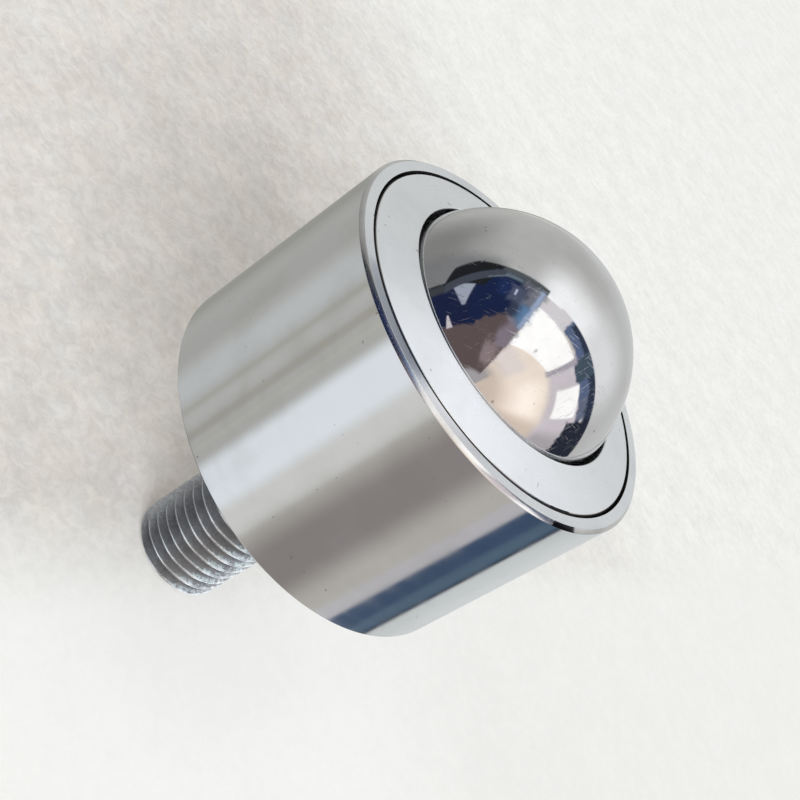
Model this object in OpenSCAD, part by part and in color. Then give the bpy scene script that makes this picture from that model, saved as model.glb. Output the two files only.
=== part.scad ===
// Ball transfer unit with a threaded stud.
//
// A polished steel ball rests on a bed of small support balls in a hardened
// cup, so that a load laid on it can be pushed in any direction. The cup sits
// in a turned housing. A keeper ring holds the support balls in, a felt ring
// wipes the ball, and a pressed-in cover closes the housing. The stud stands
// out of the housing's base and screws into the table or frame.
//
// All sizes are in millimetres. The origin is the centre of the housing's
// base, the face that seats on the table. +Z runs along the axis to the ball.

/* [Ball] */
// Diameter of the main ball
ball_d = 38.1; // [25.4:0.1:50.8]
// Height of the ball's top over the housing's rim
ball_rise = 14.9; // [11:0.1:15.5]

/* [Support balls] */
// Diameter of a support ball
support_d = 4.7625; // [3.96:0.0005:6.35]
// Running clearance of a support ball, to the main ball and to the cup
running_clearance = 0.05; // [0.02:0.01:0.1]
// Clearance between two rows of support balls
row_clearance = 0.09; // [0.05:0.01:0.2]
// Clearance between two support balls of one row
neighbour_clearance = 0.02; // [0.01:0.005:0.04]
// Angle up from the ball's lowest point that the rows may reach
bed_angle = 80; // [60:1:80]

/* [Cup and keeper] */
// Wall of the hardened cup
cup_wall = 1.25; // [1:0.05:3]
// Thickness of the ring that keeps the support balls in
keeper_t = 0.8; // [0.5:0.1:1.5]
// Clearance between the top row of support balls and the keeper ring
keeper_clearance = 0.35; // [0.2:0.05:0.8]

/* [Housing] */
// Wall of the housing around the cup
housing_wall = 2.3; // [1.8:0.1:6]
// Steel left under the cup
base_floor = 4.2; // [3.6:0.1:12]
// Bevel on the rim's outer edge
rim_bevel = 0.5; // [0.2:0.1:1.5]
// Bevel on the base's outer edge
base_bevel = 0.4; // [0.2:0.1:1.5]
// Clearance around the cup
seat_clearance = 0.04; // [0.02:0.01:0.1]

/* [Cover] */
// Rise of the cover from the rim to its opening
cover_rise = 1.35; // [0:0.05:2.5]
// Amount by which the opening's radius is smaller than the ball's
ball_hold = 0.15; // [0.1:0.05:0.5]
// Clearance between the ball and the cover's lip
lip_clearance = 0.45; // [0.3:0.05:1]
// Clearance of the pressed-in cover in the housing
press_clearance = 0.02; // [0.01:0.01:0.05]
// Width of the groove between the rim and the cover
groove_w = 0.3; // [0.1:0.05:0.6]
// Depth of that groove
groove_depth = 1.4; // [0.5:0.1:2.5]
// Bevel on the cover's outer edge
cover_bevel = 0.25; // [0.1:0.05:0.6]
// Bevel on the opening's edge
opening_bevel = 0.12; // [0.05:0.01:0.3]

/* [Felt ring] */
// Width of the felt ring
felt_w = 3.2; // [2:0.1:3.8]
// Height of the felt ring
felt_h = 2.9; // [2:0.1:3.5]
// Gap between the felt ring and the ball
felt_gap = 0.35; // [0.3:0.05:0.8]

/* [Stud] */
// Major diameter of the stud's thread
stud_d = 16; // [12:1:20]
// Length of the stud below the base
stud_len = 32; // [15:1:80]
// Bevel at the stud's end
stud_bevel = 0.74; // [0.4:0.02:2]
// Extra radius of the smooth shank that is pressed into the base
shank_step = 0.4; // [0.2:0.1:1]
// Width of the stud's head past its shank
head_step = 2.6; // [1.5:0.1:4]
// Thickness of the stud's head
head_t = 2.4; // [1.5:0.1:2.6]
// Bevel on the head's edges
head_bevel = 0.3; // [0.1:0.1:0.6]

/* [Hidden] */
$fn = 120;
small_fn = 60;
cut = 1;

ball_r = ball_d / 2;
support_r = support_d / 2;
bed_r = ball_r + running_clearance + support_r;
cup_in_r = bed_r + support_r + running_clearance;
cup_out_r = cup_in_r + cup_wall;
seat_r = cup_out_r + seat_clearance;
housing_r = seat_r + housing_wall;

centre_z = base_floor + seat_r;
rim_z = centre_z + ball_r - ball_rise;

row_angle = 2 * asin((support_d + row_clearance) / (2 * bed_r));
rows = floor(bed_angle / row_angle);
top_row_z = centre_z - bed_r * cos(rows * row_angle);
cup_top_z = top_row_z + support_r + keeper_clearance;
keeper_top_z = cup_top_z + keeper_t;
keeper_out_r = sqrt(pow(cup_out_r, 2) - pow(centre_z - cup_top_z, 2));
keeper_in_r = ball_r + felt_gap;

cover_r = seat_r - press_clearance;
opening_r = ball_r - ball_hold;
lip_r = ball_r + lip_clearance;
cover_top_z = rim_z + cover_rise;
felt_in_r = ball_r + felt_gap;
felt_out_r = felt_in_r + felt_w;
felt_top_z = keeper_top_z + felt_h;

stud_r = stud_d / 2;
shank_r = stud_r + shank_step;
head_r = shank_r + head_step;
head_z = base_floor - head_t;

// Rows up to this one have a node for each ball, and those above are grouped.
LAST_LONE_ROW = 3;

function row_radius(row) = bed_r * sin(row * row_angle);
function row_z(row) = centre_z - bed_r * cos(row * row_angle);
function row_count(row) =
    row == 0 ? 1 : floor(180 / asin((support_d + neighbour_clearance) / (2 * row_radius(row))));
function ball_name(row, place) = str("support_ball_r", row, "_", place + 1);

LONE_BALLS = [for (row = [0:LAST_LONE_ROW], place = [0:row_count(row) - 1]) ball_name(row, place)];

steel_bright = [0.80, 0.82, 0.84];
steel_polished = [0.70, 0.72, 0.76];
steel_zinc = [0.52, 0.54, 0.57];
steel_hardened = [0.40, 0.42, 0.46];
felt_grey = [0.62, 0.60, 0.56];

// A turned disc with a bevel on its lower and its upper edge.
module bevelled_disc(r, z0, z1, low_bevel, high_bevel) {
    translate([0, 0, z0]) cylinder(h = low_bevel, r1 = r - low_bevel, r2 = r);
    translate([0, 0, z0 + low_bevel]) cylinder(h = z1 - z0 - low_bevel - high_bevel, r = r);
    translate([0, 0, z1 - high_bevel]) cylinder(h = high_bevel, r1 = r, r2 = r - high_bevel);
}

// A plain turned ring.
module ring(r_in, r_out, z0, z1) {
    translate([0, 0, z0]) difference() {
        cylinder(h = z1 - z0, r = r_out);
        translate([0, 0, -cut]) cylinder(h = z1 - z0 + 2 * cut, r = r_in);
    }
}

// The turned body: a round seat for the cup, a bore over it for the keeper and
// the cover, a relief round the mouth, and a stepped hole for the stud.
module housing() {
    color(steel_bright) difference() {
        bevelled_disc(housing_r, 0, rim_z, base_bevel, rim_bevel);
        translate([0, 0, centre_z]) sphere(r = seat_r);
        translate([0, 0, cup_top_z]) cylinder(h = rim_z - cup_top_z + cut, r = seat_r);
        translate([0, 0, rim_z - groove_depth]) cylinder(h = groove_depth + cut, r = seat_r + groove_w);
        translate([0, 0, -cut]) cylinder(h = base_floor + 2 * cut, r = shank_r + press_clearance);
        translate([0, 0, head_z]) cylinder(h = centre_z - head_z, r = head_r + press_clearance);
    }
}

// The stud goes in from above: its head lies in the base, under the cup.
module threaded_stud() {
    color(steel_zinc) {
        bevelled_disc(stud_r, -stud_len, stud_bevel, stud_bevel, stud_bevel);
        cylinder(h = head_z, r = shank_r);
        bevelled_disc(head_r, head_z, base_floor, head_bevel, head_bevel);
    }
}

// The hardened cup, an even shell of a sphere cut off level above the top row.
module ball_cup() {
    color(steel_hardened) difference() {
        translate([0, 0, centre_z]) sphere(r = cup_out_r);
        translate([0, 0, centre_z]) sphere(r = cup_in_r);
        translate([0, 0, cup_top_z]) cylinder(h = cup_out_r + centre_z, r = cup_out_r + cut);
    }
}

module keeper_ring() {
    color(steel_zinc) ring(keeper_in_r, keeper_out_r, cup_top_z, keeper_top_z);
}

module felt_ring() {
    color(felt_grey) ring(felt_in_r, felt_out_r, keeper_top_z, felt_top_z);
}

// Half section of the cover, without its bore: level below, rising to the
// opening above, with a pocket for the felt ring.
module cover_section() {
    polygon([
        [felt_out_r, keeper_top_z],
        [cover_r, keeper_top_z],
        [cover_r, rim_z - cover_bevel],
        [cover_r - cover_bevel, rim_z],
        [opening_r + opening_bevel, cover_top_z],
        [opening_r, cover_top_z - opening_bevel],
        [opening_r, felt_top_z],
        [felt_out_r, felt_top_z],
    ]);
}

// The cover's lip is hollowed below its opening to clear the ball.
module cover_ring() {
    color(steel_bright) difference() {
        rotate_extrude() cover_section();
        translate([0, 0, centre_z]) sphere(r = lip_r);
    }
}

module main_ball() {
    color(steel_polished) translate([0, 0, centre_z]) sphere(r = ball_r);
}

module support_ball(row, place) {
    turn = 360 * (place + row / 2) / row_count(row);
    color(steel_polished) rotate([0, 0, turn]) translate([row_radius(row), 0, row_z(row)])
        sphere(r = support_r, $fn = small_fn);
}

module support_row(row) {
    for (place = [0:row_count(row) - 1]) support_ball(row, place);
}

module support_balls_middle_rows() {
    for (row = [LAST_LONE_ROW + 1:rows - 1]) support_row(row);
}

module support_balls_top_row() {
    support_row(rows);
}

housing();
threaded_stud();
ball_cup();
keeper_ring();
felt_ring();
cover_ring();
main_ball();
for (row = [0:LAST_LONE_ROW], place = [0:row_count(row) - 1])
    support_ball(row, place);
support_balls_middle_rows();
support_balls_top_row();
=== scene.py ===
from math import acos, asin, ceil, cos, pi, radians, sin, sqrt

import bpy
from mathutils import Matrix, Vector


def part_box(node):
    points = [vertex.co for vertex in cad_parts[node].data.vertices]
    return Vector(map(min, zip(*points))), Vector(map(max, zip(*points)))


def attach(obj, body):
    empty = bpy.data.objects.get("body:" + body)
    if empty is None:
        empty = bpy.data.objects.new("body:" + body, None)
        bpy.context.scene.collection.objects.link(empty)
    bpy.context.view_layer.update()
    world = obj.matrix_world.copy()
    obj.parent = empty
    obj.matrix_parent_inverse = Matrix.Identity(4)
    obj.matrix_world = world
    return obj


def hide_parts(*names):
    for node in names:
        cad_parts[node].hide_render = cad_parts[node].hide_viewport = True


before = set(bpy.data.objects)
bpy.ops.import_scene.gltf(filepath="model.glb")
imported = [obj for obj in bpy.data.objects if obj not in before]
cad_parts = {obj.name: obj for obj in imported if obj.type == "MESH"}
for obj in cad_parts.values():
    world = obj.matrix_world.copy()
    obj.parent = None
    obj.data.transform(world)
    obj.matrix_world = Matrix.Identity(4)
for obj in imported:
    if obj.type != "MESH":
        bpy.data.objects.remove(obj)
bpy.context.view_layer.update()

# A ball transfer unit with a threaded stud, standing on its stud's end.
# Metres throughout. +Z runs along the axis to the ball, and the origin is the
# centre of the housing's base.

# ---------------------------------------------------------------- sizes

MM = 0.001


def radius_of(node):
    """Outer radius of a turned node."""
    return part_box(node)[1][0]


def low_of(node):
    """Height of a node's lowest point."""
    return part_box(node)[0][2]


def high_of(node):
    """Height of a node's highest point."""
    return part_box(node)[1][2]


BALL_R = radius_of("main_ball")
BALL_Z = high_of("main_ball") - BALL_R
HOUSING_R = radius_of("housing")
RIM_Z = high_of("housing")
CUP_OUT_R = BALL_Z - low_of("ball_cup")
CUP_TOP_Z = high_of("ball_cup")
KEEPER_R = radius_of("keeper_ring")
KEEPER_TOP_Z = high_of("keeper_ring")
FELT_R = radius_of("felt_ring")
FELT_TOP_Z = high_of("felt_ring")
COVER_R = radius_of("cover_ring")
COVER_TOP_Z = high_of("cover_ring")
HEAD_R = radius_of("threaded_stud")
HEAD_TOP_Z = high_of("threaded_stud")
STUD_END_Z = low_of("threaded_stud")

# What the boxes don't show, as in the part's source.
BASE_BEVEL = 0.4 * MM
RIM_BEVEL = 0.5 * MM
SEAT_CLEARANCE = 0.04 * MM
PRESS_CLEARANCE = 0.02 * MM
CUP_WALL = 1.25 * MM
RING_GAP = 0.35 * MM
GROOVE_W = 0.3 * MM
GROOVE_DEPTH = 1.4 * MM
COVER_BEVEL = 0.25 * MM
OPENING_R = BALL_R - 0.15 * MM
OPENING_BEVEL = 0.12 * MM
LIP_R = BALL_R + 0.45 * MM
STUD_R = 8 * MM
SHANK_R = STUD_R + 0.4 * MM
HEAD_T = 2.4 * MM
HEAD_BEVEL = 0.3 * MM
STUD_BEVEL = 0.74 * MM
THREAD_PITCH = 2 * MM
THREAD_DEPTH = 1.227 * MM

# Rounds on the edges: deburred steel, the thread's crests, rolled sheet and felt.
EDGE_BREAK = 0.04 * MM
THREAD_BREAK = 0.03 * MM
KEEPER_BREAK = 0.15 * MM
FELT_BREAK = 0.3 * MM

# Points closer than this are one point.
WELD = 0.001 * MM

# How finely the round shapes are divided.
RING_SEGMENTS = 256
STUD_SEGMENTS = 128
THREAD_STEPS = 96
BALL_CUTS = 63
SEAT_STEPS = 24
CUP_STEPS = 36
LIP_STEPS = 8
FELT_STEPS = 8

# ---------------------------------------------------------------- modelling


def deselect_all():
    """Leaves edit mode and drops the selection, CAD nodes among it."""
    if bpy.context.object and bpy.context.object.mode != "OBJECT":
        bpy.ops.object.mode_set(mode="OBJECT")
    bpy.ops.object.select_all(action="DESELECT")


def make_active(piece):
    """Selects one piece alone."""
    deselect_all()
    piece.select_set(True)
    bpy.context.view_layer.objects.active = piece


def edit(piece):
    """Opens a piece in edit mode with all of it selected."""
    make_active(piece)
    bpy.ops.object.mode_set(mode="EDIT")
    bpy.ops.mesh.select_all(action="SELECT")


def close_mesh():
    """Welds what lies together, turns the faces outwards and leaves edit mode."""
    bpy.ops.mesh.select_all(action="SELECT")
    bpy.ops.mesh.remove_doubles(threshold=WELD)
    bpy.ops.mesh.normals_make_consistent(inside=False)
    bpy.ops.object.mode_set(mode="OBJECT")


def apply_modifiers(piece):
    """Makes a piece's modifiers part of its mesh."""
    make_active(piece)
    for name in [modifier.name for modifier in piece.modifiers]:
        bpy.ops.object.modifier_apply(modifier=name)


def break_edges(piece, width=EDGE_BREAK, angle=30):
    """A tiny round on every edge that the tool left, so that it catches light."""
    bevel = piece.modifiers.new("edge_break", "BEVEL")
    bevel.width = width
    bevel.segments = 2
    bevel.limit_method = "ANGLE"
    bevel.angle_limit = radians(angle)
    bevel.use_clamp_overlap = True
    apply_modifiers(piece)


def smooth(piece, angle=30):
    """Smooth shading in which the wide faces stay true and only the tiny rounds turn."""
    make_active(piece)
    bpy.ops.object.shade_smooth_by_angle(angle=radians(angle))
    true_faces = piece.modifiers.new("true_faces", "WEIGHTED_NORMAL")
    true_faces.mode = "FACE_AREA"
    true_faces.weight = 50
    true_faces.keep_sharp = True
    apply_modifiers(piece)


def arc(r, centre_z, start, end, steps):
    """Points along a circle round a height on the axis, by angle up from its lowest point."""
    turns = [start + (end - start) * i / steps for i in range(steps + 1)]
    return [(r * sin(t), centre_z - r * cos(t)) for t in turns]


def turned_piece(name, outline, solid=False, segments=RING_SEGMENTS):
    """A piece turned to an outline of (radius, height): a circle drawn out from point to point.

    A ring's outline comes back to its first point. A solid bar's starts and ends on a face.
    """
    r_now, z_now = outline[0]
    deselect_all()
    bpy.ops.mesh.primitive_circle_add(
        vertices=segments,
        radius=r_now,
        fill_type="NGON" if solid else "NOTHING",
        location=(0, 0, z_now),
    )
    piece = bpy.context.object
    piece.name = name
    bpy.ops.object.transform_apply(location=True, rotation=True, scale=True)
    edit(piece)
    for r, z in outline[1:] if solid else outline[1:] + outline[:1]:
        bpy.ops.mesh.extrude_region_move(TRANSFORM_OT_translate={"value": (0, 0, z - z_now)})
        bpy.ops.transform.resize(value=(r / r_now, r / r_now, 1), center_override=(0, 0, z))
        r_now, z_now = r, z
    close_mesh()
    return piece


def combine(piece, other, operation):
    """Trims a piece to another or joins the two, and takes the other away."""
    meeting = piece.modifiers.new(operation.lower(), "BOOLEAN")
    meeting.operation = operation
    meeting.object = other
    meeting.solver = "EXACT"
    apply_modifiers(piece)
    bpy.data.objects.remove(other)


def add_piece(piece, body, slot, material, *nodes):
    """Gives a finished piece its finish and its place in the frame."""
    piece.data.materials.clear()
    piece.data.materials.append(material)
    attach(piece, body)
    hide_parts(*nodes)


# ---------------------------------------------------------------- node helpers


class Nodes:
    """Adds and joins the nodes of one tree."""

    def __init__(self, tree):
        self.tree = tree

    def add(self, kind, values=(), **settings):
        """A new node with its settings and with values or sockets fed to its inputs."""
        node = self.tree.nodes.new(kind)
        for key, value in settings.items():
            setattr(node, key, value)
        for socket, value in dict(values).items():
            self.feed(node.inputs[socket], value)
        return node

    def feed(self, socket, value):
        """Joins a socket to an input, or sets the input to a value."""
        if isinstance(value, bpy.types.NodeSocket):
            self.tree.links.new(value, socket)
        else:
            socket.default_value = value

    def in_order(self, kind, values, **settings):
        """A new node whose inputs are fed from the first one on."""
        node = self.add(kind, **settings)
        for socket, value in zip(node.inputs, values):
            self.feed(socket, value)
        return node

    def math(self, operation, *values):
        return self.in_order("ShaderNodeMath", values, operation=operation).outputs[0]

    def vector(self, operation, *values):
        node = self.in_order("ShaderNodeVectorMath", values, operation=operation)
        return node.outputs["Value" if operation in ("DOT_PRODUCT", "LENGTH") else "Vector"]

    def mix_colour(self, factor, a, b, blend="MIX"):
        """A mix of two colours. The node's sockets 6, 7 and 2 are the ones for colours."""
        node = self.add("ShaderNodeMix", data_type="RGBA", blend_type=blend)
        for place, value in ((0, factor), (6, a), (7, b)):
            self.feed(node.inputs[place], value)
        return node.outputs[2]

    def mix_shader(self, factor, first, second):
        return self.in_order("ShaderNodeMixShader", (factor, first, second)).outputs[0]

    def combine_xyz(self, x, y, z=0.0):
        return self.add("ShaderNodeCombineXYZ", {"X": x, "Y": y, "Z": z}).outputs[0]

    def separate_xyz(self, vector):
        return self.add("ShaderNodeSeparateXYZ", {"Vector": vector}).outputs

    def object_place(self):
        """The place on the object, in metres."""
        return self.add("ShaderNodeTexCoord").outputs["Object"]

    def from_axis(self, vector):
        """Distance from the unit's axis."""
        parts = self.separate_xyz(vector)
        return self.vector("LENGTH", self.combine_xyz(parts["X"], parts["Y"]))

    def bump(self, height, distance):
        node = self.add("ShaderNodeBump", {"Height": height, "Distance": distance})
        return node.outputs["Normal"]

    def ramp(self, value, low, high, to_low=0.0, to_high=1.0):
        """Smooth step of a value from low to high."""
        node = self.add(
            "ShaderNodeMapRange",
            {"Value": value, "From Min": low, "From Max": high, "To Min": to_low, "To Max": to_high},
            interpolation_type="SMOOTHSTEP",
        )
        return node.outputs["Result"]

    def noise(self, vector, scale, detail=2.0, roughness=0.5, distortion=0.0):
        """Cloudy noise. A scale of 100 gives clouds about a hundredth of a metre wide."""
        node = self.add(
            "ShaderNodeTexNoise",
            {
                "Vector": vector,
                "Scale": scale,
                "Detail": detail,
                "Roughness": roughness,
                "Distortion": distortion,
            },
        )
        return node.outputs["Fac"]


def node_group(name, inputs, outputs):
    """An empty shader group, with its inside ends."""
    group = bpy.data.node_groups.new(name, "ShaderNodeTree")
    for label, kind, value in inputs:
        socket = group.interface.new_socket(name=label, in_out="INPUT", socket_type=kind)
        if value is not None:
            socket.default_value = value
    for label, kind in outputs:
        group.interface.new_socket(name=label, in_out="OUTPUT", socket_type=kind)
    nodes = Nodes(group)
    return group, nodes, nodes.add("NodeGroupInput").outputs, nodes.add("NodeGroupOutput").inputs


FLOAT = "NodeSocketFloat"
VECTOR = "NodeSocketVector"


def linear(red, green, blue):
    """Light value of a colour given as on a screen, 0 to 255."""
    def light(channel):
        c = channel / 255
        return c / 12.92 if c <= 0.04045 else ((c + 0.055) / 1.055) ** 2.4
    return (light(red), light(green), light(blue), 1.0)


# ---------------------------------------------------------------- surface effects


def build_turning_marks():
    """Fine rings left by the lathe, round the axis, on sides and faces alike."""
    group, nodes, given, out = node_group(
        "turning_marks",
        [("Vector", VECTOR, None), ("Spacing", FLOAT, 0.2 * MM)],
        [("Rings", FLOAT), ("Bands", FLOAT)],
    )
    height = nodes.separate_xyz(given["Vector"])["Z"]
    along = nodes.math("ADD", nodes.from_axis(given["Vector"]), height)
    count = nodes.math("DIVIDE", along, given["Spacing"])
    rings, bands = [
        nodes.add(
            "ShaderNodeTexNoise",
            {"W": count, "Scale": scale, "Detail": detail},
            noise_dimensions="1D",
        ).outputs["Fac"]
        for scale, detail in ((1.0, 1.0), (0.07, 2.0))
    ]
    nodes.feed(out["Rings"], rings)
    nodes.feed(out["Bands"], nodes.ramp(bands, 0.35, 0.65))
    return group


def turned_vector(nodes, vector, turn):
    """A place turned about the origin, by angles in radians."""
    values = {"Vector": vector, "Rotation": turn}
    return nodes.add("ShaderNodeVectorRotate", values, rotation_type="EULER_XYZ").outputs[0]


def build_scratches():
    """Sparse hair-thin scratches, in two directions. Size is a scratch's length."""
    group, nodes, given, out = node_group(
        "scratches",
        [("Vector", VECTOR, None), ("Size", FLOAT, 6 * MM), ("Rarity", FLOAT, 0.7)],
        [("Mask", FLOAT)],
    )
    slenderness = 60.0
    scale = nodes.math("DIVIDE", 1.0, given["Size"])
    fade = nodes.math("ADD", given["Rarity"], 0.05)
    masks = []
    for turn in ((0.3, 0.9, 0.2), (1.2, -0.4, 0.8)):
        turned = turned_vector(nodes, given["Vector"], turn)
        long = nodes.vector("MULTIPLY", turned, (1.0, slenderness, slenderness))
        streak = nodes.noise(long, scale, detail=1.0)
        masks.append(nodes.ramp(streak, given["Rarity"], fade))
    nodes.feed(out["Mask"], nodes.math("MAXIMUM", *masks))
    return group


def build_arcs():
    """Hair-thin scratches that run round the ball, about two leaning axes. Size is an arc's width."""
    group, nodes, given, out = node_group(
        "arcs",
        [("Vector", VECTOR, None), ("Size", FLOAT, 0.1 * MM), ("Rarity", FLOAT, 0.7)],
        [("Mask", FLOAT)],
    )
    arcs_a_radian = 5.0
    climb = 0.9
    from_centre = nodes.vector("SUBTRACT", given["Vector"], (0.0, 0.0, BALL_Z))
    fade = nodes.math("ADD", given["Rarity"], 0.06)
    masks = []
    for turn in ((0.9, 0.5, 0.2), (-0.7, 1.1, 0.8)):
        parts = nodes.separate_xyz(turned_vector(nodes, from_centre, turn))
        heading = nodes.math("ARCTAN2", parts["Y"], parts["X"])
        along = nodes.math("MULTIPLY", heading, arcs_a_radian)
        level = nodes.math("DIVIDE", parts["Z"], given["Size"])
        drift = nodes.math("MULTIPLY_ADD", along, climb, level)
        streak = nodes.noise(nodes.combine_xyz(drift, along), 1.0)
        masks.append(nodes.ramp(streak, given["Rarity"], fade))
    nodes.feed(out["Mask"], nodes.math("MAXIMUM", *masks))
    return group


def build_handling():
    """Cloudy film and specks that handling leaves on bright metal."""
    group, nodes, given, out = node_group(
        "handling",
        [("Vector", VECTOR, None), ("Size", FLOAT, 10 * MM)],
        [("Film", FLOAT), ("Specks", FLOAT)],
    )
    scale = nodes.math("DIVIDE", 1.0, given["Size"])
    film = nodes.noise(given["Vector"], scale, detail=3.0, roughness=0.6)
    fine = nodes.math("MULTIPLY", scale, 9.0)
    specks = nodes.noise(given["Vector"], fine, detail=1.0)
    nodes.feed(out["Film"], nodes.ramp(film, 0.42, 0.68))
    nodes.feed(out["Specks"], nodes.ramp(specks, 0.76, 0.80))
    return group


TURNING_MARKS = build_turning_marks()
SCRATCHES = build_scratches()
ARCS = build_arcs()
HANDLING = build_handling()


def use_group(nodes, group, values, label=""):
    """Places a node group in a tree and returns what it puts out."""
    return nodes.add("ShaderNodeGroup", values, node_tree=group, label=label).outputs


def new_material(name):
    """A material with its shader, and the place that its patterns read."""
    material = bpy.data.materials.new(name)
    material.use_nodes = True
    material.node_tree.nodes.clear()
    nodes = Nodes(material.node_tree)
    place = nodes.object_place()
    shader = nodes.add("ShaderNodeBsdfPrincipled")
    output = nodes.add("ShaderNodeOutputMaterial")
    nodes.feed(output.inputs["Surface"], shader.outputs["BSDF"])
    return material, nodes, place, shader.inputs


# Grey of the specks, how strongly they show, and how deep a scratch is cut.
SPECK_GREY = (0.25, 0.25, 0.25, 1.0)
SPECK_STRENGTH = 0.6
SCRATCH_DEPTH = 1e-6


def metal(
    name,
    bright,
    dull,
    polish,
    film_rough=0.05,
    ring_spacing=0.25 * MM,
    ring_rough=0.03,
    ring_height=0.3e-6,
    scratches=SCRATCHES,
    scratch_size=6 * MM,
    scratch_rarity=0.72,
    scratch_rough=0.2,
    brushed=0.0,
):
    """Bare or plated metal: rings of the lathe, handling film, specks and scratches."""
    material, nodes, place, shader = new_material(name)
    rings = use_group(nodes, TURNING_MARKS, {"Vector": place, "Spacing": ring_spacing})
    handled = use_group(nodes, HANDLING, {"Vector": place})
    cuts = {"Vector": place, "Size": scratch_size, "Rarity": scratch_rarity}
    scratch = use_group(nodes, scratches, cuts)["Mask"]
    colour = nodes.mix_colour(handled["Film"], bright, dull)
    specks = nodes.math("MULTIPLY", handled["Specks"], SPECK_STRENGTH)
    nodes.feed(shader["Base Color"], nodes.mix_colour(specks, colour, SPECK_GREY))
    rough = nodes.math("MULTIPLY_ADD", handled["Film"], film_rough, polish)
    rough = nodes.math("MULTIPLY_ADD", rings["Bands"], ring_rough, rough)
    rough = nodes.math("MULTIPLY_ADD", scratch, scratch_rough, rough)
    nodes.feed(shader["Roughness"], rough)
    shader["Metallic"].default_value = 1.0
    if brushed:
        shader["Anisotropic"].default_value = brushed
        shader["Anisotropic Rotation"].default_value = 0.25
        tangent = nodes.add("ShaderNodeTangent", direction_type="RADIAL", axis="Z")
        nodes.feed(shader["Tangent"], tangent.outputs[0])
    ringed = nodes.bump(rings["Rings"], ring_height)
    cut = nodes.add(
        "ShaderNodeBump",
        {"Height": scratch, "Distance": SCRATCH_DEPTH, "Normal": ringed},
        invert=True,
    )
    nodes.feed(shader["Normal"], cut.outputs["Normal"])
    return material


def plated_housing():
    """Bright plate on the housing's side and base."""
    return metal(
        "chrome_plate",
        bright=(0.64, 0.65, 0.66, 1.0),
        dull=(0.60, 0.61, 0.61, 1.0),
        polish=0.08,
        film_rough=0.03,
        ring_rough=0.02,
        scratch_rarity=0.80,
        brushed=0.9,
    )


def satin_steel():
    """Fine turned steel of the cover."""
    return metal(
        "satin_steel",
        bright=(0.86, 0.88, 0.90, 1.0),
        dull=(0.80, 0.82, 0.84, 1.0),
        polish=0.26,
        ring_spacing=0.3 * MM,
        brushed=0.3,
    )


def toward(nodes, angle):
    """How closely a place lies on one side of the axis: 1 straight on that side, less away from it."""
    flat = nodes.vector("MULTIPLY", nodes.object_place(), (1.0, 1.0, 0.0))
    flat = nodes.vector("NORMALIZE", flat)
    return nodes.vector("DOT_PRODUCT", flat, (sin(radians(angle)), -cos(radians(angle)), 0.0))


def tint(material, mask, colour):
    """Lays another tone over the masked part of a finish."""
    nodes = Nodes(material.node_tree)
    socket = nodes.tree.nodes["Principled BSDF"].inputs["Base Color"]
    nodes.feed(socket, nodes.mix_colour(mask, socket.links[0].from_socket, colour))


def turned_edge():
    """Plating on the bevelled edges: a softer shine, and one black patch on one side."""
    material = metal(
        "turned_edge_chrome",
        bright=(0.64, 0.63, 0.62, 1.0),
        dull=(0.50, 0.49, 0.48, 1.0),
        polish=0.15,
        scratch_rarity=0.66,
    )
    black_patch_side = 55
    black_patch = (0.012, 0.012, 0.016, 1.0)
    nodes = Nodes(material.node_tree)
    jagged = nodes.noise(nodes.object_place(), 1400, detail=3.0)
    near = nodes.math("MULTIPLY_ADD", jagged, 0.008, toward(nodes, black_patch_side))
    # A black patch on one side of the edge.
    tint(material, nodes.ramp(near, 1.0, 1.001), black_patch)
    return material


def rim_flat_with_painted_reflection():
    """The rim's flat: satin, with a painted darker reflection on one side."""
    material = metal(
        "rim_steel_painted_reflection",
        bright=(0.86, 0.88, 0.90, 1.0),
        dull=(0.78, 0.80, 0.83, 1.0),
        polish=0.24,
        ring_spacing=0.3 * MM,
        brushed=0.3,
    )
    reflection_side = -21
    painted_reflection_grey = (0.40, 0.44, 0.50, 1.0)
    nodes = Nodes(material.node_tree)
    cloudy = nodes.noise(nodes.object_place(), 500)
    near = nodes.math("MULTIPLY_ADD", cloudy, 0.04, toward(nodes, reflection_side))
    # Painted reflection: the flat is greyer on one side.
    tint(material, nodes.ramp(near, 0.945, 1.01, 0.0, 0.9), painted_reflection_grey)
    return material


def mirror_ball():
    """The main ball's polish, with arc scratches from rolling."""
    return metal(
        "mirror_ball_steel",
        bright=(0.655, 0.652, 0.65, 1.0),
        dull=(0.59, 0.585, 0.575, 1.0),
        polish=0.035,
        film_rough=0.02,
        ring_rough=0.0,
        ring_height=0.0,
        scratches=ARCS,
        scratch_size=0.09 * MM,
        scratch_rarity=0.66,
        scratch_rough=0.4,
    )


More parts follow.
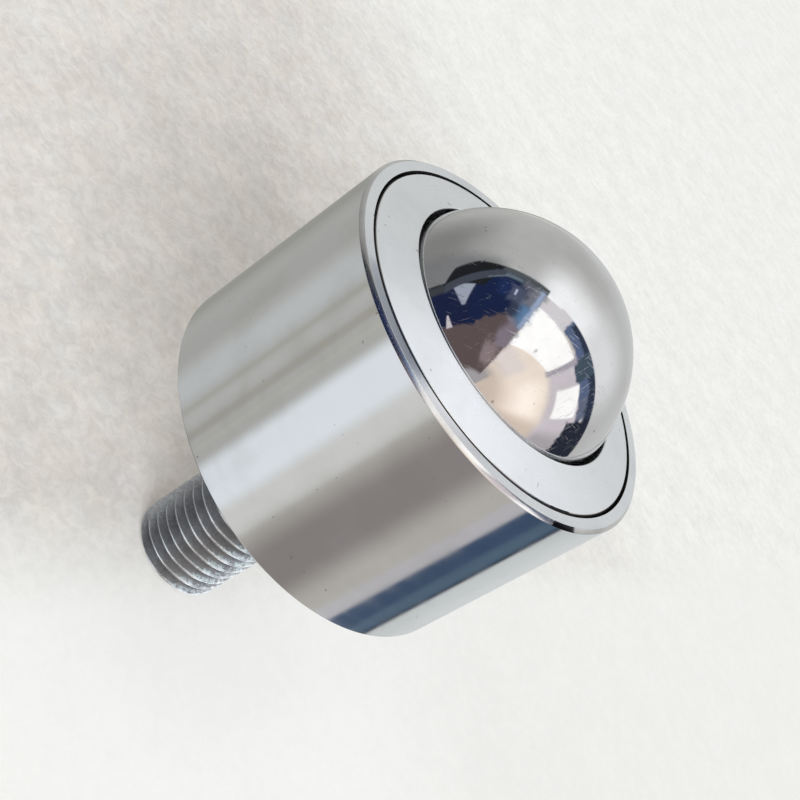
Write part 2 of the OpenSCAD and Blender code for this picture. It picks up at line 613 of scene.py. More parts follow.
def zinc_thread():
    """Zinc plate: dull grey flanks, crests rubbed bright, and painted highlights on one side."""
    dull_zinc = (0.44, 0.45, 0.47, 1.0)
    filmed_zinc = (0.35, 0.355, 0.37, 1.0)
    spangle_grey = (0.52, 0.54, 0.56, 1.0)
    painted_glint_white = (0.84, 0.94, 0.96, 1.0)
    rubbed_crest = (0.72, 0.74, 0.75, 1.0)
    painted_crest_glint = (0.95, 0.98, 0.99, 1.0)
    material, nodes, place, shader = new_material("zinc_plate")
    r = nodes.from_axis(place)
    film = use_group(nodes, HANDLING, {"Vector": place, "Size": 3 * MM})["Film"]
    grain = nodes.noise(place, 2500, detail=3.0, roughness=0.65)
    spangle = nodes.ramp(grain, 0.45, 0.7)
    # Painted light: the crests are painted brighter on one side and duller on the other, and that side's
    # flanks and crests get painted glints.
    side = nodes.vector("DOT_PRODUCT", place, (0.8, -0.6, 0.0))
    lit_side_share = nodes.ramp(side, -3 * MM, 5 * MM, 0.12, 1.0)
    clean = nodes.math("MULTIPLY_ADD", film, -0.65, 1.0)
    # The crests' share of bright wear, dimmed on the far side as painted shade.
    worn = nodes.math("MULTIPLY", clean, lit_side_share)
    crest = nodes.math("MULTIPLY", nodes.ramp(r, STUD_R - 0.2 * MM, STUD_R - 0.06 * MM), worn)
    # Painted glints on the flanks and crests of the bright side.
    patchy = nodes.ramp(nodes.noise(place, 1300, detail=2.0), 0.4, 0.55)
    upper = nodes.ramp(r, STUD_R - 0.8 * MM, STUD_R - 0.3 * MM)
    painted_glints = nodes.math("MULTIPLY", patchy, upper)
    painted_glints = nodes.math("MULTIPLY", nodes.ramp(side, 6.3 * MM, 7.2 * MM), painted_glints)
    painted_glints = nodes.math("MULTIPLY", painted_glints, nodes.ramp(grain, 0.36, 0.5))
    crest_glint_share = nodes.math("MULTIPLY", nodes.ramp(side, 4.5 * MM, 6.5 * MM), patchy)
    flank = nodes.mix_colour(film, dull_zinc, filmed_zinc)
    flank = nodes.mix_colour(spangle, flank, spangle_grey)
    flank = nodes.mix_colour(painted_glints, flank, painted_glint_white)
    bright_crest = nodes.mix_colour(crest_glint_share, rubbed_crest, painted_crest_glint)
    nodes.feed(shader["Base Color"], nodes.mix_colour(crest, flank, bright_crest))
    rough = nodes.math("MULTIPLY_ADD", spangle, -0.15, 0.45)
    nodes.feed(shader["Roughness"], nodes.math("MULTIPLY_ADD", crest, -0.3, rough))
    shader["Metallic"].default_value = 1.0
    nodes.feed(shader["Normal"], nodes.bump(grain, 0.02 * MM))
    return material


def groove_shade_and_dirt():
    """Near-black painted shade for the narrow groove, lumpy like oily dirt in it."""
    shaded_oily_black = (0.008, 0.008, 0.009, 1.0)
    shaded_dusty_black = (0.03, 0.028, 0.026, 1.0)
    material, nodes, place, shader = new_material("groove_shade_and_dirt")
    lumps = nodes.noise(place, 1500, detail=3.0)
    nodes.feed(shader["Base Color"], nodes.mix_colour(lumps, shaded_oily_black, shaded_dusty_black))
    shader["Roughness"].default_value = 0.6
    shader["Specular IOR Level"].default_value = 0.1
    nodes.feed(shader["Normal"], nodes.bump(lumps, 0.02 * MM))
    return material


def hardened_cup():
    """Dark hardened steel."""
    return metal(
        "hardened_steel",
        bright=(0.36, 0.35, 0.36, 1.0),
        dull=(0.27, 0.25, 0.25, 1.0),
        polish=0.24,
        film_rough=0.12,
    )


def keeper_sheet():
    """Plain dull sheet steel."""
    return metal(
        "keeper_sheet_steel",
        bright=(0.46, 0.47, 0.49, 1.0),
        dull=(0.38, 0.38, 0.40, 1.0),
        polish=0.3,
    )


def bearing_steel():
    """Polish of the small support balls."""
    return metal(
        "support_ball_steel",
        bright=(0.62, 0.62, 0.64, 1.0),
        dull=(0.55, 0.55, 0.57, 1.0),
        polish=0.07,
        ring_rough=0.0,
        ring_height=0.0,
        scratch_size=1.5 * MM,
        scratch_rarity=0.74,
    )


def oiled_felt():
    """Pressed wool felt, grey, with short fibres and oil in patches."""
    dark_fibre = (0.30, 0.28, 0.25, 1.0)
    light_fibre = (0.52, 0.50, 0.45, 1.0)
    oil_brown = (0.20, 0.18, 0.14, 1.0)
    material, nodes, place, shader = new_material("oiled_felt")
    pressed = nodes.vector("MULTIPLY", place, (1.0, 1.0, 2.5))
    fibres = nodes.noise(pressed, 2600, detail=4.0, roughness=0.7, distortion=1.5)
    oil = nodes.ramp(nodes.noise(place, 180, detail=3.0), 0.45, 0.65)
    dry = nodes.mix_colour(fibres, dark_fibre, light_fibre)
    nodes.feed(shader["Base Color"], nodes.mix_colour(oil, dry, oil_brown))
    nodes.feed(shader["Roughness"], nodes.ramp(oil, 0.0, 1.0, 0.95, 0.6))
    shader["Sheen Weight"].default_value = 0.3
    nodes.feed(shader["Normal"], nodes.bump(fibres, 0.05 * MM))
    return material


# ---------------------------------------------------------------- pieces


def finish_band(piece, material, low_r, high_r, low_z, high_z):
    """Gives the faces of one band of a turned piece a finish of their own."""
    piece.data.materials.append(material)
    slack = 0.01 * MM
    for face in piece.data.polygons:
        middle = face.center
        r = sqrt(middle.x**2 + middle.y**2)
        if low_r - slack < r < high_r + slack and low_z - slack < middle.z < high_z + slack:
            face.material_index = len(piece.data.materials) - 1


def make_housing(material, flat, edge, groove_shade):
    """The turned body: spherical seat, bore, relief groove, bevelled rim and base, stepped stud hole."""
    seat_r = CUP_OUT_R + SEAT_CLEARANCE
    hole_r = SHANK_R + PRESS_CLEARANCE
    recess_r = HEAD_R + PRESS_CLEARANCE
    recess_z = HEAD_TOP_Z - HEAD_T
    groove_r = seat_r + GROOVE_W
    start = asin(recess_r / seat_r)
    end = acos((BALL_Z - CUP_TOP_Z) / seat_r) if CUP_TOP_Z < BALL_Z else pi / 2
    outline = [
        (hole_r, 0),
        (HOUSING_R - BASE_BEVEL, 0),
        (HOUSING_R, BASE_BEVEL),
        (HOUSING_R, RIM_Z - RIM_BEVEL),
        (HOUSING_R - RIM_BEVEL, RIM_Z),
        (groove_r, RIM_Z),
        (groove_r, RIM_Z - GROOVE_DEPTH),
        (seat_r, RIM_Z - GROOVE_DEPTH),
        (seat_r, CUP_TOP_Z),
        *reversed(arc(seat_r, BALL_Z, start, end, SEAT_STEPS)),
        (recess_r, recess_z),
        (hole_r, recess_z),
    ]
    housing = turned_piece("housing_body", outline)
    break_edges(housing)
    # Where the round had no room it leaves faces without area. Welding closes them.
    edit(housing)
    close_mesh()
    smooth(housing)
    add_piece(housing, "housing", "chromed_housing", material, "housing")
    finish_band(housing, edge, HOUSING_R - RIM_BEVEL, HOUSING_R, RIM_Z - RIM_BEVEL, RIM_Z)
    flat_r = HOUSING_R - RIM_BEVEL - EDGE_BREAK
    finish_band(housing, flat, groove_r + EDGE_BREAK, flat_r, RIM_Z, RIM_Z)
    # The groove's faces get painted shade, lumpy like oily dirt.
    finish_band(housing, groove_shade, seat_r, groove_r, RIM_Z - GROOVE_DEPTH, RIM_Z - EDGE_BREAK)


def make_cover(material, edge, groove_shade):
    """The pressed-in cover: a shallow cone with a pocket for the felt, hollowed to clear the ball."""
    # The inner part of the bevel shows bright above the painted shade in the groove.
    bright_bevel = 0.35 * COVER_BEVEL
    bevel_r = COVER_R - COVER_BEVEL
    shade_z = RIM_Z - bright_bevel
    lip_low = sqrt(LIP_R**2 - (FELT_TOP_Z - BALL_Z) ** 2)
    start = pi - asin(lip_low / LIP_R)
    end = pi - asin(OPENING_R / LIP_R)
    outline = [
        (FELT_R, KEEPER_TOP_Z),
        (COVER_R, KEEPER_TOP_Z),
        (COVER_R, RIM_Z - GROOVE_DEPTH),
        (COVER_R, RIM_Z - COVER_BEVEL),
        (bevel_r + bright_bevel, shade_z),
        (bevel_r, RIM_Z),
        (OPENING_R + OPENING_BEVEL, COVER_TOP_Z),
        (OPENING_R, COVER_TOP_Z - OPENING_BEVEL),
        *reversed(arc(LIP_R, BALL_Z, start, end, LIP_STEPS)),
        (FELT_R, FELT_TOP_Z),
    ]
    cover = turned_piece("cover_plate", outline)
    break_edges(cover)
    smooth(cover)
    add_piece(cover, "housing", "cover_steel", material, "cover_ring")
    finish_band(cover, edge, bevel_r, bevel_r + bright_bevel, shade_z, RIM_Z)
    # The cover's side in the groove gets painted shade, lumpy like oily dirt.
    finish_band(cover, groove_shade, bevel_r + bright_bevel, COVER_R, RIM_Z - GROOVE_DEPTH, shade_z)


def make_ball(material):
    """The main ball: a cube divided evenly and blown up to the sphere, so that it has no poles."""
    deselect_all()
    bpy.ops.mesh.primitive_cube_add(size=BALL_R, location=(0, 0, 0))
    ball = bpy.context.object
    ball.name = "load_ball"
    edit(ball)
    bpy.ops.mesh.subdivide(number_cuts=BALL_CUTS)
    bpy.ops.object.mode_set(mode="OBJECT")
    cast = ball.modifiers.new("round", "CAST")
    cast.factor = 1.0
    cast.radius = BALL_R
    apply_modifiers(ball)
    edit(ball)
    bpy.ops.transform.translate(value=(0, 0, BALL_Z))
    close_mesh()
    smooth(ball, angle=60)
    add_piece(ball, "main_ball", "polished_ball", material, "main_ball")


def make_cup(material):
    """The hardened cup, an even shell with its top ground level."""
    inner_r = CUP_OUT_R - CUP_WALL
    drop = BALL_Z - CUP_TOP_Z
    start = radians(0.4)
    outline = arc(CUP_OUT_R, BALL_Z, start, acos(drop / CUP_OUT_R), CUP_STEPS)
    outline += reversed(arc(inner_r, BALL_Z, start, acos(drop / inner_r), CUP_STEPS))
    cup = turned_piece("race_cup", outline)
    break_edges(cup)
    smooth(cup)
    add_piece(cup, "housing", "hardened_cup", material, "ball_cup")


def make_keeper(material):
    """The sheet steel ring that holds the support balls down, its edges rolled a little."""
    inner_r = BALL_R + RING_GAP
    outline = [
        (inner_r, CUP_TOP_Z),
        (KEEPER_R, CUP_TOP_Z),
        (KEEPER_R, KEEPER_TOP_Z),
        (inner_r, KEEPER_TOP_Z),
    ]
    keeper = turned_piece("ball_keeper", outline)
    break_edges(keeper, KEEPER_BREAK)
    smooth(keeper)
    add_piece(keeper, "housing", "keeper_steel", material, "keeper_ring")


def make_felt(material):
    """The felt wiper: soft corners and an uneven, fibrous face."""
    inner_r = BALL_R + RING_GAP
    low_z = KEEPER_TOP_Z
    corners = [(inner_r, low_z), (FELT_R, low_z), (FELT_R, FELT_TOP_Z), (inner_r, FELT_TOP_Z)]
    outline = []
    for (r0, z0), (r1, z1) in zip(corners, corners[1:] + corners[:1]):
        shares = [i / FELT_STEPS for i in range(FELT_STEPS)]
        outline += [(r0 + (r1 - r0) * share, z0 + (z1 - z0) * share) for share in shares]
    felt = turned_piece("felt_wiper", outline)
    break_edges(felt, FELT_BREAK)
    pile = bpy.data.textures.new("felt_pile", "CLOUDS")
    pile.noise_scale = 0.6 * MM
    worn = felt.modifiers.new("pile", "DISPLACE")
    worn.texture = pile
    worn.strength = 0.1 * MM
    worn.mid_level = 1.0
    apply_modifiers(felt)
    smooth(felt, angle=60)
    add_piece(felt, "housing", "felt", material, "felt_ring")


def wind_thread(root_r):
    """A closed bar with a 60 degree right-handed thread, a turn or so longer than the stud."""
    turns = ceil(-STUD_END_Z / THREAD_PITCH) + 2
    start_z = STUD_END_Z - THREAD_PITCH
    eighth = THREAD_PITCH / 8
    # One turn: root, rising flank, crest, falling flank.
    tooth = [
        (root_r, 0),
        (root_r, 2 * eighth),
        (STUD_R, 4.5 * eighth),
        (STUD_R, 5.5 * eighth),
        (root_r, 8 * eighth),
    ]
    deselect_all()
    bpy.ops.mesh.primitive_plane_add(size=MM, location=(0, 0, 0))
    thread = bpy.context.object
    thread.name = "thread"
    edit(thread)
    bpy.ops.mesh.merge(type="CENTER")
    bpy.ops.transform.translate(value=(root_r, 0, start_z))
    for (r0, z0), (r1, z1) in zip(tooth, tooth[1:]):
        bpy.ops.mesh.extrude_region_move(TRANSFORM_OT_translate={"value": (r1 - r0, 0, z1 - z0)})
    bpy.ops.object.mode_set(mode="OBJECT")
    screw = thread.modifiers.new("wind", "SCREW")
    screw.screw_offset = THREAD_PITCH
    screw.iterations = turns
    screw.steps = THREAD_STEPS
    screw.render_steps = THREAD_STEPS
    screw.use_merge_vertices = True
    screw.merge_threshold = WELD
    apply_modifiers(thread)
    # The two open ends are closed with a face each.
    edit(thread)
    bpy.ops.mesh.remove_doubles(threshold=WELD)
    bpy.ops.mesh.select_all(action="DESELECT")
    bpy.ops.mesh.select_non_manifold(
        extend=False,
        use_wire=False,
        use_multi_face=False,
        use_non_contiguous=False,
        use_verts=False,
    )
    bpy.ops.mesh.edge_face_add()
    close_mesh()
    return thread


def make_stud(material):
    """The stud: a rolled thread trimmed to its blank, and the pressed shank and head on top."""
    root_r = STUD_R - THREAD_DEPTH
    stud = wind_thread(root_r)
    # The thread stops just under the base, and the shank reaches down into its core.
    thread_top = -0.05 * MM
    core_r = root_r - 0.2 * MM
    core_z = thread_top - 0.5 * MM
    blank = turned_piece(
        "stud_blank",
        [
            (STUD_R - STUD_BEVEL, STUD_END_Z),
            (STUD_R + MM, STUD_END_Z + STUD_BEVEL + MM),
            (STUD_R + MM, thread_top),
        ],
        solid=True,
        segments=STUD_SEGMENTS,
    )
    combine(stud, blank, "INTERSECT")
    head_z = HEAD_TOP_Z - HEAD_T
    shank = turned_piece(
        "stud_shank",
        [
            (core_r, core_z),
            (core_r, 0),
            (SHANK_R, 0),
            (SHANK_R, head_z),
            (HEAD_R - HEAD_BEVEL, head_z),
            (HEAD_R, head_z + HEAD_BEVEL),
            (HEAD_R, HEAD_TOP_Z - HEAD_BEVEL),
            (HEAD_R - HEAD_BEVEL, HEAD_TOP_Z),
        ],
        solid=True,
        segments=STUD_SEGMENTS,
    )
    combine(stud, shank, "UNION")
    stud.name = "stud"
    break_edges(stud, THREAD_BREAK, angle=40)
    smooth(stud, angle=35)
    add_piece(stud, "housing", "zinc_stud", material, "threaded_stud")


def finish_support_balls(material):
    """The support balls keep their CAD shape and get a bearing steel finish."""
    for name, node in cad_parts.items():
        if name.startswith("support_ball"):
            node.data.materials.clear()
            node.data.materials.append(material)


GROOVE_SHADE_AND_DIRT = groove_shade_and_dirt()
TURNED_EDGE = turned_edge()
make_housing(plated_housing(), rim_flat_with_painted_reflection(), TURNED_EDGE, GROOVE_SHADE_AND_DIRT)
make_cover(satin_steel(), TURNED_EDGE, GROOVE_SHADE_AND_DIRT)
make_ball(mirror_ball())
make_cup(hardened_cup())
make_keeper(keeper_sheet())
make_felt(oiled_felt())
make_stud(zinc_thread())
finish_support_balls(bearing_steel())

# ---------------------------------------------------------------- room, floor and lamps

# The room that the bright metal mirrors. Its up direction leans towards the
# camera, because the unit is seen lying on its side on a sheet of paper.
# Azimuth 0 is the way that the ball points, and elevation is over the paper.
ROOM_LEAN = radians(12.5)
ROOM_UP = Vector((sin(ROOM_LEAN), -cos(ROOM_LEAN), 0))
ROOM_SIDE = Vector((cos(ROOM_LEAN), sin(ROOM_LEAN), 0))
ROOM_AHEAD = Vector((0, 0, 1))
# Share of the light that the plated metal gives back.
MIRROR_SHARE = 0.64
# Width of the floor, in metres.
FLOOR_WIDTH = 12

# Colours as on a screen, 0 to 255.
BLACK = (0, 0, 0)
WHITE = (255, 255, 255)
WALL = (205, 198, 190)
PAPER_GREY = (171, 172, 171)
PLAIN_LIGHT = (205, 205, 203)
PALE_BACKGROUND = (236, 236, 233)

# Reach across of a panel that goes the whole way round.
ALL_ROUND = (-180, 180)


def panel(name, across, upright, soft, colour, lean=0, slope=0, taper=0, ragged=0):
    """One soft-edged panel of the room: its reach in degrees, and its colour as the metal shows it.

    lean and slope tilt its sides and its edges, taper narrows it upwards, and ragged frays it.
    """
    return {
        "name": name,
        "across": across,
        "upright": upright,
        "soft": soft,
        "colour": colour,
        "lean": lean,
        "slope": slope,
        "taper": taper,
        "ragged": ragged,
    }


# The later panels hang in front of the earlier ones.
ROOM = [
    panel("ceiling", (-8, 180), (26, 95), 4, (233, 219, 206)),
    panel("ceiling_near", (-12, 24), (44, 64), 5, (218, 208, 204)),
    panel("ceiling_far", ALL_ROUND, (64, 95), 9, (200, 185, 173)),
    panel("ceiling_dim", (-180, 10), (70, 95), 5, (157, 154, 157)),
    panel("lit_wall", (38, 72), (33, 53), 8, (252, 240, 229)),
    panel("dim_wall", (76, 180), (26, 95), 7, (204, 188, 175)),
    panel("lilac_wall", (31, 118), (-12, 29), 4, (200, 193, 200)),
    panel("lilac_far", (82, 118), (-12, 29), 6, (166, 162, 166)),
    panel("sill", (-12, 14), (-12, 8.5), 1.5, (206, 203, 208)),
    panel("sill_shade", (-12, -7), (-12, 2), 2, (166, 166, 165)),
    panel("floor_blue", (13.5, 62), (-20, 3.5), 1.5, (86, 100, 130), ragged=2),
    panel("floor_grey", (60, 75), (-20, 2), 1.5, (98, 104, 124), ragged=3),
    panel("floor_dark", (16, 125), (-24, -7), 1.5, (46, 54, 72), slope=-0.06, ragged=2),
    panel("chair", (35, 48.5), (-14, 6.5), 1, (66, 80, 94), ragged=1),
    panel("floor_black", (74, 125), (-24, 6.5), 1.5, (38, 42, 54), ragged=3),
    panel("post", (32, 37), (3, 31), 1.5, (163, 158, 168)),
    panel("window", (-12, 32.5), (6.5, 30), 1, WHITE, slope=-0.06),
    panel("window_top", (-12, 32.5), (15, 38), 1, WHITE, slope=-0.37),
    panel("small_window", (50, 70.5), (3, 22.5), 1, WHITE),
    panel("sleeve", (-180, -10.3), (26, 76), 2, (89, 77, 78)),
    panel("sleeve_lit", (-33, -12), (50, 70), 5, (132, 118, 121), ragged=4),
    panel("arm", (-24, -10), (25.5, 52), 4, (124, 115, 126), ragged=4),
    panel("jacket_front", (-30, -10.4), (-12, 27), 1.5, (54, 61, 80), ragged=2),
    panel("jacket_high", (-120, -50), (7, 43.5), 1.5, (27, 34, 62), ragged=1),
    panel("jacket", (-56, -27.5), (-8, 35.5), 1.5, (26, 36, 66), slope=-0.55, ragged=2),
    panel("jacket_blue", (-40, -32), (3, 14), 4, (32, 46, 86), ragged=2),
    panel("pocket", (-32, -20), (3.5, 15.5), 2, (74, 81, 103), ragged=2),
    panel("jacket_lit", (-19, -10.4), (12, 30), 4, (92, 124, 160), ragged=2),
    panel("knee", (-20, -10.4), (-6, 13), 3, (112, 114, 125), ragged=2),
    panel("jacket_rim", (-13.4, -10.4), (-6, 31), 1.6, (150, 166, 194), ragged=1.5),
    panel("knee_low", (-26, -18.5), (-12, 1), 1.5, (93, 95, 107), ragged=1),
    panel("button", (-28.6, -27.2), (5.5, 10.5), 0.6, (176, 186, 208)),
    panel("seat", (-40, -27), (-4.5, -1.5), 1.5, (98, 112, 122)),
    panel("shoes", (-42, -9), (-14, -5), 1.5, (78, 83, 87), ragged=1),
    panel("cuff", (-78, -74), (35, 44.5), 0.7, (190, 185, 190), taper=-0.28),
    panel("collar", (-69.6, -57.5), (5, 28), 0.9, (148, 155, 170), lean=0.09, taper=0.41),
    panel("table_far", (-100, -75), (10.5, 17), 1.5, (58, 61, 66)),
    panel("table_line", (-100, -75), (8.8, 10.8), 0.6, (46, 48, 48)),
    panel("table_edge", (-73, -44), (-14, 11), 0.8, (30, 32, 35), lean=-0.46),
    panel("table_top", (-77, -39), (1.5, 8.5), 0.8, (64, 69, 80), slope=-0.47),
    panel("table_glint", (-49, -37), (-0.3, 1.2), 0.5, (96, 104, 112), slope=-0.45),
]

# Shades of the sheet that the unit lies on, as the ball mirrors it.
PAPER = [
    panel("right", (35, 180), (-95, -17), 18, (177, 178, 178)),
    panel("left", (-180, -60), (-55, 30), 22, (130, 130, 130)),
    panel("left_low", (-180, -42), (-15, 30), 8, (117, 118, 120)),
    panel("bright", (-15, 70), (-40, 30), 16, (213, 214, 216)),
    panel("lit", (-12, 26), (-28, 30), 12, (238, 240, 242)),
    panel("curled_edge", (-9, 9), (-7.5, -4), 0.7, (240, 241, 242), slope=-0.1),
]

# Where the sheet lies: white hides the room behind it.
SHEET = [
    panel("near", (-78, -8), (-120, -9.6), 0.7, WHITE),
    panel("bend", (-92, -58), (-120, -1.2), 1.5, WHITE, slope=-0.5),
    panel("ahead", (-9, 180), (-120, -16), 0.7, WHITE, slope=-0.115),
    panel("curled", (-9, 3), (-20, -4.2), 0.7, WHITE, slope=-0.1),
    panel("end", (-180, -53), (-95, 9.3), 0.8, WHITE, lean=-0.46),
]

# What the housing's side mirrors, below the level of its base. Azimuth 0 is
# the camera's side, and elevation is over the base.
LOW_BAND = (-95, -14)
LOW_ROOM = [
    panel("grey_wall", ALL_ROUND, LOW_BAND, 4, (166, 165, 161)),
    panel("far_left", (-180, -100), LOW_BAND, 4, (158, 158, 154)),
    panel("dim_left", (-180, -138), LOW_BAND, 14, (133, 133, 128)),
    panel("edge_left", (-180, -166), LOW_BAND, 7, (120, 120, 117)),
    panel("light_left", (-92, -73), LOW_BAND, 7, (180, 182, 182)),
    panel("seam_far", (-69.5, -66), LOW_BAND, 0.8, (160, 159, 151)),
    panel("light_middle", (-65, -58), LOW_BAND, 3, (173, 172, 169)),
    panel("seam_middle", (-55, -50), LOW_BAND, 1, (156, 153, 145)),
    panel("seam_near", (-44.6, -42.6), LOW_BAND, 0.8, (171, 170, 162)),
    panel("cloth_fade", (-28, 13), LOW_BAND, 9, (198, 197, 194)),
    panel("pale_cloth", (-33.5, -7), LOW_BAND, 5, (214, 218, 222)),
    panel("warm_grey", (13, 89), LOW_BAND, 3, (172, 168, 162)),
    panel("brown_shade", (19, 57), LOW_BAND, 11, (131, 125, 123)),
    panel("lilac_edge", (77, 89), LOW_BAND, 0.8, (174, 171, 173)),
    panel("navy_edge", (88.4, 118), LOW_BAND, 1.6, (56, 73, 97), ragged=1),
    panel("teal", (103, 114), LOW_BAND, 3, (76, 95, 112), ragged=2),
    panel("dark_line", (115, 118.5), LOW_BAND, 0.8, (42, 50, 64)),
    panel("paper_side", (118.5, 180), LOW_BAND, 1.5, (188, 191, 191)),
    panel("paper_dim", (150, 180), LOW_BAND, 8, (181, 183, 183)),
    panel("under_shade", (-180, -20), (-120, -42), 3, (104, 106, 109)),
    panel("under_light", (78, 150), (-120, -40), 2, (240, 244, 248)),
]


def build_panel():
    """Mask of one soft-edged panel of the room."""
    names = ["Azimuth", "Elevation", "Middle", "Half width", "Height", "Half height"]
    names += ["Softness", "Lean", "Slope", "Taper", "Ragged"]
    inputs = [(name, FLOAT, 0.0) for name in names]
    group, nodes, given, out = node_group("room_panel", inputs, [("Mask", FLOAT)])
    across = nodes.math("SUBTRACT", given["Azimuth"], given["Middle"])
    across = nodes.math("WRAP", across, 180.0, -180.0)
    rise = nodes.math("SUBTRACT", given["Elevation"], given["Height"])
    tilted = nodes.math("MULTIPLY", across, given["Slope"])
    rise = nodes.math("SUBTRACT", rise, tilted)
    across = nodes.math("SUBTRACT", across, nodes.math("MULTIPLY", rise, given["Lean"]))
    narrowed = nodes.math("MULTIPLY", rise, given["Taper"])
    half_width = nodes.math("SUBTRACT", given["Half width"], narrowed)
    low = nodes.math("MULTIPLY", given["Softness"], -1.0)
    masks = []
    for distance, half in ((across, half_width), (rise, given["Half height"])):
        inside = nodes.math("SUBTRACT", half, nodes.math("ABSOLUTE", distance))
        inside = nodes.math("ADD", inside, given["Ragged"])
        masks.append(nodes.ramp(inside, low, given["Softness"]))
    nodes.feed(out["Mask"], nodes.math("MULTIPLY", *masks))
    return group


def room_angles(nodes, way, up, side, ahead):
    """Azimuth and elevation of a direction, in degrees."""
    rise, across, forward = [nodes.vector("DOT_PRODUCT", way, axis) for axis in (up, side, ahead)]
    azimuth = nodes.math("DEGREES", nodes.math("ARCTAN2", across, forward))
    return azimuth, nodes.math("DEGREES", nodes.math("ARCSINE", rise))


def hang_panels(nodes, group, panels, angles, uneven, backing):
    """Lays the panels over a backing colour, the last one on top."""
    azimuth, elevation = angles
    colour = backing
    for entry in panels:
        west, east = entry["across"]
        low, high = entry["upright"]
        values = {
            "Azimuth": azimuth,
            "Elevation": elevation,
            "Middle": (west + east) / 2,
            "Half width": (east - west) / 2,
            "Height": (low + high) / 2,
            "Half height": (high - low) / 2,
            "Softness": float(entry["soft"]),
            "Lean": float(entry["lean"]),
            "Slope": float(entry["slope"]),
            "Taper": float(entry["taper"]),
        }
        if entry["ragged"]:
            values["Ragged"] = nodes.math("MULTIPLY", uneven, float(entry["ragged"]))
        mask = use_group(nodes, group, values, entry["name"])["Mask"]
        colour = nodes.mix_colour(mask, colour, linear(*entry["colour"]))
    return colour


def background(nodes, colour, strength=1.0):
    """Light of one colour from all round."""
    values = {"Color": colour, "Strength": strength}
    return nodes.add("ShaderNodeBackground", values).outputs[0]


def make_world():
    """The room for the mirroring metal, and plain light for everything else."""
    world = bpy.data.worlds.new("room")
    bpy.context.scene.world = world
    world.use_nodes = True
    world.node_tree.nodes.clear()
    world.cycles.sampling_method = "NONE"
    nodes = Nodes(world.node_tree)
    way = nodes.add("ShaderNodeTexCoord").outputs["Generated"]
    group = build_panel()
    uneven = nodes.noise(way, 9.0, detail=3.0, roughness=0.65)
    uneven = nodes.math("MULTIPLY_ADD", uneven, 4.0, -2.0)
    angles = room_angles(nodes, way, ROOM_UP, ROOM_SIDE, ROOM_AHEAD)
    room = hang_panels(nodes, group, ROOM, angles, uneven, linear(*WALL))
    paper = hang_panels(nodes, group, PAPER, angles, uneven, linear(*PAPER_GREY))
    sheet = hang_panels(nodes, group, SHEET, angles, uneven, linear(*BLACK))
    room = nodes.mix_colour(sheet, room, paper)
    low_angles = room_angles(nodes, way, (0.0, 0.0, 1.0), (1.0, 0.0, 0.0), (0.0, -1.0, 0.0))
    room = hang_panels(nodes, group, LOW_ROOM, low_angles, uneven, room)
    mirrored = background(nodes, room, 1 / MIRROR_SHARE)
    plain = background(nodes, linear(*PLAIN_LIGHT))
    pale = background(nodes, linear(*PALE_BACKGROUND))
    ray = nodes.add("ShaderNodeLightPath").outputs
    lit = nodes.mix_shader(ray["Is Glossy Ray"], plain, mirrored)
    seen = nodes.mix_shader(ray["Is Camera Ray"], lit, pale)
    nodes.add("ShaderNodeOutputWorld", {"Surface": seen})


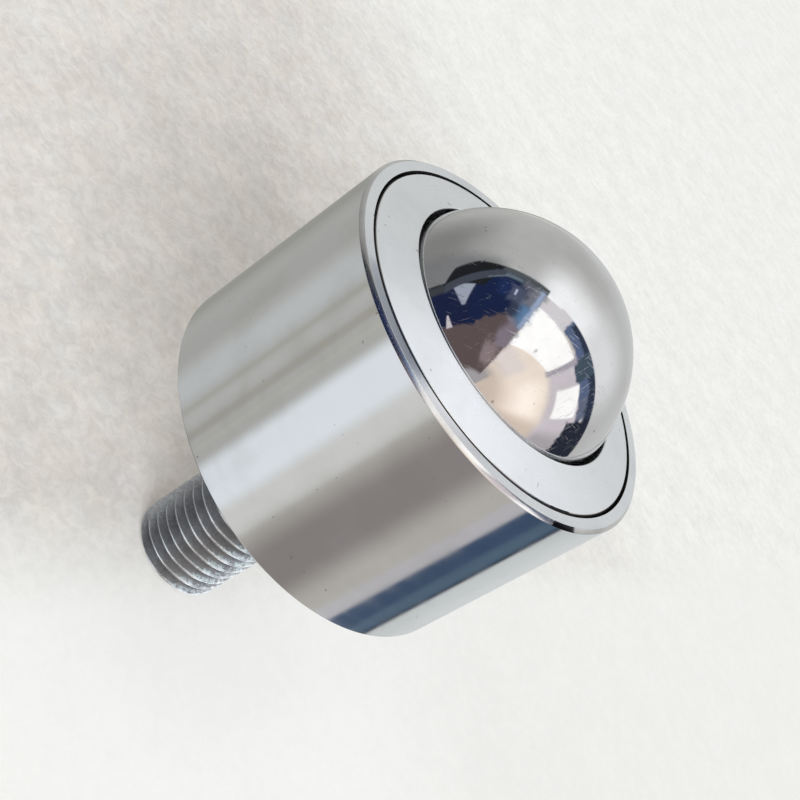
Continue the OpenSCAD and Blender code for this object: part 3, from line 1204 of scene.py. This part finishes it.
def white_card():
    """Soft white card, faintly mottled, warmer and dimmer on one side."""
    dark_mottle = (0.52, 0.52, 0.52, 1.0)
    light_mottle = (0.74, 0.74, 0.735, 1.0)
    warm_stain = (1.015, 1.0, 0.975, 1.0)
    cool_stain = (0.985, 1.0, 1.02, 1.0)
    far_dark, far_light = (0.715, 0.715, 0.71, 1.0), (0.86, 0.86, 0.855, 1.0)
    near_dark, near_light = (0.77, 0.77, 0.765, 1.0), (0.815, 0.815, 0.81, 1.0)
    dim_glow = (0.12, 0.095, 0.07, 1.0)
    bright_glow = (0.10, 0.105, 0.095, 1.0)
    material, nodes, place, shader = new_material("white_card")
    near = nodes.vector("DOT_PRODUCT", place, (0.91, -0.41, 0.0))
    far = nodes.vector("DOT_PRODUCT", place, (0.41, 0.91, 0.0))
    beside = nodes.ramp(near, -12 * MM, 12 * MM)
    bright = nodes.math("MAXIMUM", beside, nodes.ramp(far, 70 * MM, 190 * MM))
    cloud = nodes.noise(place, 90, detail=4.0, roughness=0.6)
    mottle = nodes.noise(place, 420, detail=5.0, roughness=0.75, distortion=0.6)
    mottle_share = 1.6
    both = nodes.ramp(cloud, 0.3, 0.7)
    both = nodes.math("MULTIPLY_ADD", nodes.ramp(mottle, 0.3, 0.7), mottle_share, both)
    tone = nodes.math("DIVIDE", both, 1 + mottle_share)
    stain = nodes.vector("ADD", place, (1.0, 0.4, 0.0))
    stain = nodes.noise(stain, 130, detail=3.0, roughness=0.6)
    stain = nodes.mix_colour(nodes.ramp(stain, 0.35, 0.65), warm_stain, cool_stain)
    grainy = nodes.mix_colour(tone, dark_mottle, light_mottle)
    grainy = nodes.mix_colour(1.0, grainy, stain, blend="MULTIPLY")
    far_card = nodes.mix_colour(tone, far_dark, far_light)
    near_card = nodes.mix_colour(tone, near_dark, near_light)
    even = nodes.mix_colour(beside, far_card, near_card)
    nodes.feed(shader["Base Color"], nodes.mix_colour(bright, grainy, even))
    shader["Roughness"].default_value = 0.9
    shader["Specular IOR Level"].default_value = 0.0
    # Paleness that only the camera sees, and painted light round the unit's foot that lifts the shadow
    # there.
    glow = nodes.mix_colour(bright, dim_glow, bright_glow)
    reach = nodes.vector("SUBTRACT", place, (20 * MM, -15 * MM, 0.0))
    reach = nodes.vector("LENGTH", reach)
    foot_painted_light = nodes.math("MULTIPLY", nodes.ramp(reach, 20 * MM, 75 * MM, 0.085, 0.0), bright)
    glow = nodes.vector("ADD", glow, nodes.combine_xyz(foot_painted_light, foot_painted_light, foot_painted_light))
    seen_by_camera = nodes.add("ShaderNodeLightPath").outputs["Is Camera Ray"]
    glow = nodes.add("ShaderNodeEmission", {"Color": glow, "Strength": seen_by_camera})
    card = nodes.tree.nodes["Principled BSDF"]
    total = nodes.in_order("ShaderNodeAddShader", (card.outputs[0], glow.outputs[0]))
    output = nodes.tree.nodes["Material Output"]
    nodes.feed(output.inputs["Surface"], total.outputs[0])
    return material


def make_floor(material):
    """A wide sheet under the stud's end, which the metal doesn't mirror."""
    deselect_all()
    bpy.ops.mesh.primitive_plane_add(size=FLOOR_WIDTH, location=(0, 0, STUD_END_Z))
    floor = bpy.context.object
    floor.name = "floor"
    floor.visible_glossy = False
    floor.data.materials.append(material)


def make_soft_sun(name, place, strength, spread):
    """Even daylight from one side, with a soft shadow."""
    deselect_all()
    bpy.ops.object.light_add(type="SUN")
    lamp = bpy.context.object
    lamp.name = name
    lamp.data.energy = strength
    lamp.data.angle = radians(spread)
    lamp.visible_glossy = False
    lamp.location = place
    lamp.rotation_mode = "QUATERNION"
    lamp.rotation_quaternion = (-Vector(place)).to_track_quat("-Z", "Y")


def make_camera():
    """Looks down along +Y, rolled so that the axis runs from lower left to upper right."""
    look_down = radians(29.7)
    roll = radians(57.4)
    distance = 180 * MM
    target = Vector((-1 * MM, -3.8 * MM, 17 * MM))
    turned = Matrix.Rotation(pi / 2 - look_down, 4, "X") @ Matrix.Rotation(roll, 4, "Z")
    back = turned.to_3x3() @ Vector((0, 0, 1))
    deselect_all()
    bpy.ops.object.camera_add()
    camera = bpy.context.object
    camera.matrix_world = Matrix.Translation(target + back * distance) @ turned
    camera.data.lens = 61
    camera.data.sensor_width = 36
    camera.data.clip_start = 10 * MM
    bpy.context.scene.camera = camera


make_world()
make_floor(white_card())
make_soft_sun("daylight", place=(0.5, -0.85, 0.58), strength=2.25, spread=32)
make_camera()
bpy.context.scene.view_settings.view_transform = "Standard"
